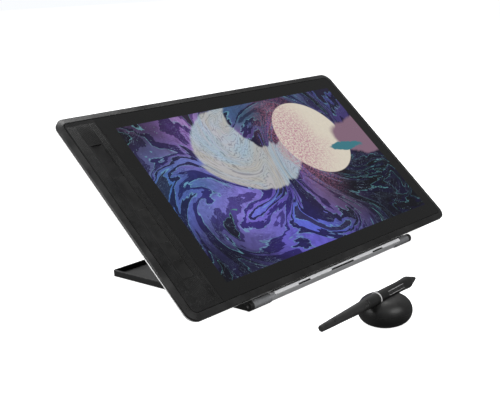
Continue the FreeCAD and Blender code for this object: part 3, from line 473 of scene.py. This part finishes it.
screenLook = {"bezel": shade(0.012), "behind": (0.004, 0.004, 0.005), "rough": 0.24, "smear": 0.08,
              "specular": 0.24, "glow": 0.93, "edge": 0.1 * mm}
swirls = [((0.46, 0.19), 0.75, 1.5), ((-0.15, 0.235), 0.6, -1.4), ((-0.62, -0.12), 0.6, 1.8),
          ((0.18, -0.34), 0.55, -2.1), ((0.78, -0.3), 0.5, 1.7)]
washes = [  # middle, radii, softness, colour
    ((-0.62, 0.36), (0.42, 0.26), 0.7, paint(142, 112, 168)),
    ((-0.98, 0.52), (0.36, 0.3), 0.6, paint(54, 44, 63)),
    ((-0.84, 0.0), (0.36, 0.3), 0.7, paint(64, 87, 134)),
    ((-0.4, -0.24), (0.42, 0.24), 0.7, paint(108, 98, 172)),
    ((0.02, -0.14), (0.3, 0.22), 0.7, paint(71, 61, 121)),
    ((-0.1, -0.42), (0.42, 0.2), 0.7, paint(88, 84, 160)),
    ((0.34, -0.26), (0.3, 0.2), 0.6, paint(107, 90, 120)),
    ((0.86, -0.34), (0.62, 0.46), 0.6, paint(12, 6, 34)),
    ((0.14, 0.54), (0.42, 0.16), 0.5, paint(57, 85, 110)),
    ((0.3, 0.47), (0.3, 0.1), 0.6, paint(50, 53, 72)),
    ((-0.95, -0.52), (0.4, 0.26), 0.7, paint(30, 30, 52)),
]
pictureBase = paint(58, 52, 92)
marbling = {
    "layers": [(0.0, shade(0.12)), (0.36, (0.5, 0.42, 0.62)), (0.405, shade(1.5)), (0.45, (0.3, 0.22, 0.5)),
               (0.495, (1.3, 1.2, 1.5)), (0.54, (0.16, 0.14, 0.26)), (0.585, (1.1, 1.5, 1.7)),
               (0.63, shade(0.3))],
    "outline": paint(120, 190, 196), "outlineGap": 0.045, "outlineAmount": 0.42, "waves": 260,
}
veinLook = {"bands": 58, "deep": paint(28, 24, 52), "deepAmount": 0.5, "line": paint(150, 176, 205),
            "lineAmount": 0.6}
moonLook = {"middle": (-0.15, 0.235), "radii": (0.44, 0.34), "soft": 0.03, "hollow": (0.05, 0.42),
            "hollowRadii": (0.21, 0.21), "hollowSoft": 0.05, "cool": paint(173, 195, 208),
            "warm": paint(190, 188, 182), "amount": 0.86, "strokes": 0.4}
discLook = {"middle": (0.46, 0.19), "radii": (0.31, 0.31), "soft": 0.012, "colour": paint(220, 211, 194)}
bloomLook = {"middle": (0.3, 0.2), "radii": (0.2, 0.34), "soft": 0.7, "colour": paint(176, 112, 140),
             "amount": 0.85}
wedges = [((0.95, 0.12), (0.3, 0.15), paint(129, 101, 119)),
          ((0.7, 0.06), (0.16, 0.035), paint(60, 118, 130))]
wedgeSoft = 0.1
speckLook = {"colour": paint(168, 214, 214), "scale": 48, "amount": 0.75}


def swirled(tree, place, centre, radius, angle):
    away = addNode(tree, "VectorMath", {0: place, 1: (*centre, 0)}, operation="DISTANCE").outputs["Value"]
    turn = spread(tree, away, 0, radius, (angle, 0), "SMOOTHERSTEP")
    inputs = {"Vector": place, "Center": (*centre, 0), "Angle": turn}
    return addNode(tree, "VectorRotate", inputs, rotation_type="Z_AXIS").outputs["Vector"]


def ellipseMask(tree, place, centre, radii, soft):
    # 1 inside the ellipse, 0 outside, with an edge as wide as the softness
    local = addNode(tree, "VectorMath", {0: place, 1: (*centre, 0)}, operation="SUBTRACT").outputs["Vector"]
    unit = addNode(tree, "VectorMath", {0: local, 1: (1 / radii[0], 1 / radii[1], 0)}, operation="MULTIPLY")
    away = addNode(tree, "VectorMath", {0: unit.outputs["Vector"]}, operation="LENGTH").outputs["Value"]
    return spread(tree, away, 1 + soft, 1 - soft, how="SMOOTHSTEP")


def moved(tree, place, push, amount):
    # a place shifted by noise, by up to half the amount each way
    inputs = {0: push, 1: (amount, amount, 0), 2: place}
    return addNode(tree, "VectorMath", inputs, operation="MULTIPLY_ADD").outputs["Vector"]


def greyColour(tree, value):
    return addNode(tree, "CombineColor", {0: value, 1: value, 2: value}).outputs[0]


def paintMarbling(tree, colour, flow):
    # hard-edged layers between contours of slow noise, thinly outlined, and the fine waves that follow them
    contour = noise(tree, flow, 2.4, 1.5, 0.5).outputs["Fac"]
    layers = colourRamp(tree, contour, marbling["layers"], "CONSTANT")
    colour = blendColours(tree, 1.0, colour, layers, "MULTIPLY")
    crest = calc(tree, "PINGPONG", contour, marbling["outlineGap"])
    waves = calc(tree, "SINE", calc(tree, "MULTIPLY", contour, marbling["waves"]))
    rim = calc(tree, "MULTIPLY", spread(tree, crest, 0.004, 0.001), marbling["outlineAmount"])
    return blendColours(tree, rim, colour, (*marbling["outline"], 1)), waves


def paintVeins(tree, colour, field, flat):
    # dark and bright hair lines, in patches
    veins = calc(tree, "ABSOLUTE", calc(tree, "SINE", calc(tree, "MULTIPLY", field, veinLook["bands"])))
    patchy = spread(tree, noise(tree, flat, 4.5, 3, 0.5).outputs["Fac"], 0.45, 0.68)
    darkPatches = calc(tree, "MULTIPLY", patchy, veinLook["deepAmount"])
    dark = calc(tree, "MULTIPLY", spread(tree, veins, 0.55, 0.95), darkPatches)
    colour = blendColours(tree, dark, colour, (*veinLook["deep"], 1))
    brightPatches = calc(tree, "MULTIPLY", patchy, veinLook["lineAmount"])
    bright = calc(tree, "MULTIPLY", spread(tree, veins, 0.16, 0.02), brightPatches)
    return blendColours(tree, bright, colour, (*veinLook["line"], 1))


def paintMoon(tree, colour, ragged, field, waves):
    whole = ellipseMask(tree, ragged, moonLook["middle"], moonLook["radii"], moonLook["soft"])
    hollow = ellipseMask(tree, ragged, moonLook["hollow"], moonLook["hollowRadii"], moonLook["hollowSoft"])
    moon = calc(tree, "MULTIPLY", whole, calc(tree, "SUBTRACT", 1.0, hollow))
    tone = blendColours(tree, spread(tree, field, 0.4, 0.6), (*moonLook["cool"], 1), (*moonLook["warm"], 1))
    strokes = calc(tree, "MULTIPLY", spread(tree, waves, 0.5, 0.95), moonLook["strokes"])
    tone = blendColours(tree, strokes, tone, (*veinLook["deep"], 1))
    return blendColours(tree, calc(tree, "MULTIPLY", moon, moonLook["amount"]), colour, tone)


def paintDisc(tree, colour, flat, warped):
    # a pale disc with a speckled bloom over it
    disc = ellipseMask(tree, flat, discLook["middle"], discLook["radii"], discLook["soft"])
    grainy = spread(tree, noise(tree, flat, 42, 5, 0.7).outputs["Fac"], 0.3, 0.7, (0.9, 1.0))
    colour = blendColours(tree, calc(tree, "MULTIPLY", disc, grainy), colour, (*discLook["colour"], 1))
    spots = spread(tree, noise(tree, flat, 70, 3, 0.7).outputs["Fac"], 0.42, 0.6)
    patch = ellipseMask(tree, warped, bloomLook["middle"], bloomLook["radii"], bloomLook["soft"])
    bloom = calc(tree, "MULTIPLY", patch, calc(tree, "MULTIPLY", spots, bloomLook["amount"]))
    return blendColours(tree, bloom, colour, (*bloomLook["colour"], 1))


def makePicture(tree, face):
    # an abstract painting: soft washes of colour, marbling, a pale disc and a crescent
    scaled = addNode(tree, "VectorMath", {0: face, 1: pictureMiddle}, operation="SUBTRACT").outputs["Vector"]
    shrink = (1 / pictureHalf.x, 1 / pictureHalf.x, 0)
    flat = addNode(tree, "VectorMath", {0: scaled, 1: shrink}, operation="MULTIPLY").outputs["Vector"]
    stirred = flat
    for centre, radius, angle in swirls:
        stirred = swirled(tree, stirred, centre, radius, angle)
    drift = noise(tree, stirred, 2.6, 5, 0.55).outputs["Color"]
    push = addNode(tree, "VectorMath", {0: drift, 1: (0.5, 0.5, 0.5)}, operation="SUBTRACT").outputs["Vector"]
    warped = moved(tree, flat, push, 0.34)
    colour = (*pictureBase, 1)
    for centre, radii, soft, tint in washes:
        colour = blendColours(tree, ellipseMask(tree, warped, centre, radii, soft), colour, (*tint, 1))
    colour, waves = paintMarbling(tree, colour, moved(tree, stirred, push, 0.62))
    field = noise(tree, stirred, 3.2, 6, 0.6, 0.8).outputs["Fac"]
    colour = paintVeins(tree, colour, field, flat)
    brush = spread(tree, noise(tree, warped, 24, 4, 0.65).outputs["Fac"], 0.3, 0.7, (0.78, 1.2))
    colour = blendColours(tree, 1.0, colour, greyColour(tree, brush), "MULTIPLY")
    ragged = moved(tree, flat, push, 0.2)
    colour = paintMoon(tree, colour, ragged, field, waves)
    colour = paintDisc(tree, colour, flat, warped)
    for centre, radii, tint in wedges:
        colour = blendColours(tree, ellipseMask(tree, ragged, centre, radii, wedgeSoft), colour, (*tint, 1))
    cells = addNode(tree, "TexVoronoi", {"Vector": flat, "Scale": speckLook["scale"]}).outputs["Distance"]
    crowd = spread(tree, noise(tree, flat, 3.4, 2, 0.5).outputs["Fac"], 0.5, 0.62)
    specks = calc(tree, "MULTIPLY", spread(tree, cells, 0.12, 0.06), crowd)
    amount = calc(tree, "MULTIPLY", specks, speckLook["amount"])
    return blendColours(tree, amount, colour, (*speckLook["colour"], 1))


def makeScreenGlass(look):
    # etched glass with a black printed border, lit inside the picture
    material, tree, shader = startMaterial("screenGlass")
    face = onTabletFace(tree)
    local = addNode(tree, "VectorMath", {0: face, 1: pictureMiddle}, operation="SUBTRACT").outputs["Vector"]
    parts = addNode(tree, "SeparateXYZ", {0: local}).outputs
    lit = 1.0
    for axis, half in (("X", pictureHalf.x), ("Y", pictureHalf.y)):
        far = calc(tree, "ABSOLUTE", parts[axis])
        inside = spread(tree, far, half + look["edge"], half - look["edge"])
        lit = calc(tree, "MULTIPLY", lit, inside)
    front = spread(tree, addNode(tree, "SeparateXYZ", {0: face}).outputs["Z"], -0.5 * mm, -0.2 * mm)
    lit = calc(tree, "MULTIPLY", lit, front)
    smears = spread(tree, noise(tree, face, 26, 5, 0.6).outputs["Fac"], 0.35, 0.7)
    grain = useGroup(tree, surfaceGrain, Scale=6000, Softness=0.1)
    setShader(tree, shader, Base_Color=blendColours(tree, lit, (*look["bezel"], 1), (*look["behind"], 1)),
              Roughness=spread(tree, smears, 0, 1, (look["rough"], look["rough"] + look["smear"])),
              Specular_IOR_Level=look["specular"], Emission_Color=makePicture(tree, face),
              Emission_Strength=calc(tree, "MULTIPLY", lit, look["glow"]),
              Normal=addNode(tree, "Bump", {"Strength": 0.5, "Distance": 0.004 * mm,
                                            "Height": grain["Height"]}).outputs["Normal"])
    return material


dress(makeScreenGlass(screenLook), "front_glass")
print("screen painted")

# ---- ribs and grips ---------------------------------------------------------------------------------------


def roundedBar(name, low, high, rounding):
    # a long bar between two corners, with its edges rounded
    bpy.ops.object.select_all(action="DESELECT")
    bpy.ops.mesh.primitive_cube_add(size=1, location=(low + high) / 2)
    bar = bpy.context.object
    bar.name = name
    bar.scale = high - low
    bpy.ops.object.transform_apply(location=False, rotation=False, scale=True)
    bpy.ops.object.mode_set(mode="EDIT")
    bpy.ops.mesh.select_all(action="SELECT")
    bpy.ops.mesh.bevel(offset=rounding, segments=2, affect="EDGES")
    bpy.ops.object.mode_set(mode="OBJECT")
    return bar


def repeatBar(bar, count, step):
    modifier = bar.modifiers.new("repeat", "ARRAY")
    modifier.use_relative_offset = False
    modifier.use_constant_offset = True
    modifier.constant_offset_displace = step
    modifier.count = count
    bpy.ops.object.modifier_apply(modifier=modifier.name)
    return bar


def finishPiece(name, pieces, material, body):
    # one object at the origin, leaned back with the tablet, riding its body
    bpy.ops.object.select_all(action="DESELECT")
    for piece in pieces:
        piece.select_set(True)
    bpy.context.view_layer.objects.active = pieces[0]
    bpy.ops.object.join()
    whole = bpy.context.object
    whole.name = name
    bpy.ops.object.transform_apply(location=True, rotation=True, scale=True)
    whole.matrix_world = Matrix.Rotation(lean, 4, "X")
    bpy.ops.object.transform_apply(location=True, rotation=True, scale=True)
    bpy.ops.object.shade_smooth_by_angle(angle=math.radians(40))
    whole.data.materials.clear()
    whole.data.materials.append(material)
    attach(whole, body)
    return whole


bandRibs = {"pitch": 1.7 * mm, "width": 0.8 * mm, "height": 0.22 * mm, "sink": 0.2 * mm, "margin": 1.6 * mm,
            "rounding": 0.09 * mm, "border": 2.4 * mm}
bandFinish = {"colour": shade(0.01), "rough": 0.36, "specular": 0.25, "grain": 3500, "depth": 0.01,
              "wearAndHighlight": 0.3, "dust": 0.05}


def makeBandRibs(look):
    # fine ribs along the band beside the glass, which stop short of the keys
    panelLow, panelHigh = tiltedBox("key_panel")
    keysLow = Vector(map(min, *[tiltedBox(f"key_{number}")[0] for number in range(1, 9)]))
    keysHigh = Vector(map(max, *[tiltedBox(f"key_{number}")[1] for number in range(1, 9)]))
    left, right = panelLow.x + look["margin"], panelHigh.x - look["margin"]
    bottom, top = panelLow.y + 3 * look["margin"], panelHigh.y - 3 * look["margin"]
    channelLeft, channelRight = keysLow.x - look["border"], keysHigh.x + look["border"]
    zones = [
        (left, channelLeft, bottom, top), (channelRight, right, bottom, top),
        (channelLeft, channelRight, bottom, keysLow.y - look["border"]),
        (channelLeft, channelRight, keysHigh.y + look["border"], top),
    ]
    pieces = []
    for zoneLeft, zoneRight, low, high in zones:
        count = int((zoneRight - zoneLeft - look["width"]) / look["pitch"]) + 1
        near = Vector((zoneLeft, low, panelHigh.z - look["sink"]))
        far = Vector((zoneLeft + look["width"], high, panelHigh.z + look["height"]))
        bar = roundedBar("bandRib", near, far, look["rounding"])
        pieces.append(repeatBar(bar, count, (look["pitch"], 0, 0)))
    return finishPiece("bandRibs", pieces, makeFinish("bandRib", bandFinish), "tablet")


lipGrips = {"inset": 0.45 * mm, "rounding": 0.12 * mm, "ribs": 3, "ribRounding": 0.1 * mm}


def makeLipGrips(look):
    # the lip's rubber inserts, with ribs that run along the lip
    turnFlat = Matrix.Rotation(-lean, 3, "X")
    points = [turnFlat @ vertex.co for vertex in nodes["lip_pads"].data.vertices]
    ends = sorted({round(point.x, 5) for point in points})
    low, high = tiltedBox("lip_pads")
    step = (high.y - low.y) / look["ribs"]
    pieces = []
    for left, right in zip(ends[::2], ends[1::2]):
        core = roundedBar("gripCore", Vector((left, low.y + look["inset"], low.z)),
                          Vector((right, high.y, high.z - look["inset"])), look["rounding"])
        ribLow = Vector((left + look["inset"], low.y, high.z - 2 * look["inset"]))
        rib = roundedBar("gripRib", ribLow, Vector((right - look["inset"], low.y + 0.6 * step, high.z)),
                         look["ribRounding"])
        pieces.extend((core, repeatBar(rib, look["ribs"], (0, step, 0))))
    material = nodes["lip_pads"].data.materials[0]
    grips = finishPiece("lipGrips", pieces, material, "stand_plate")
    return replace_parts(grips, "lip_pads")


makeBandRibs(bandRibs)
makeLipGrips(lipGrips)
print("ribs and grips made")
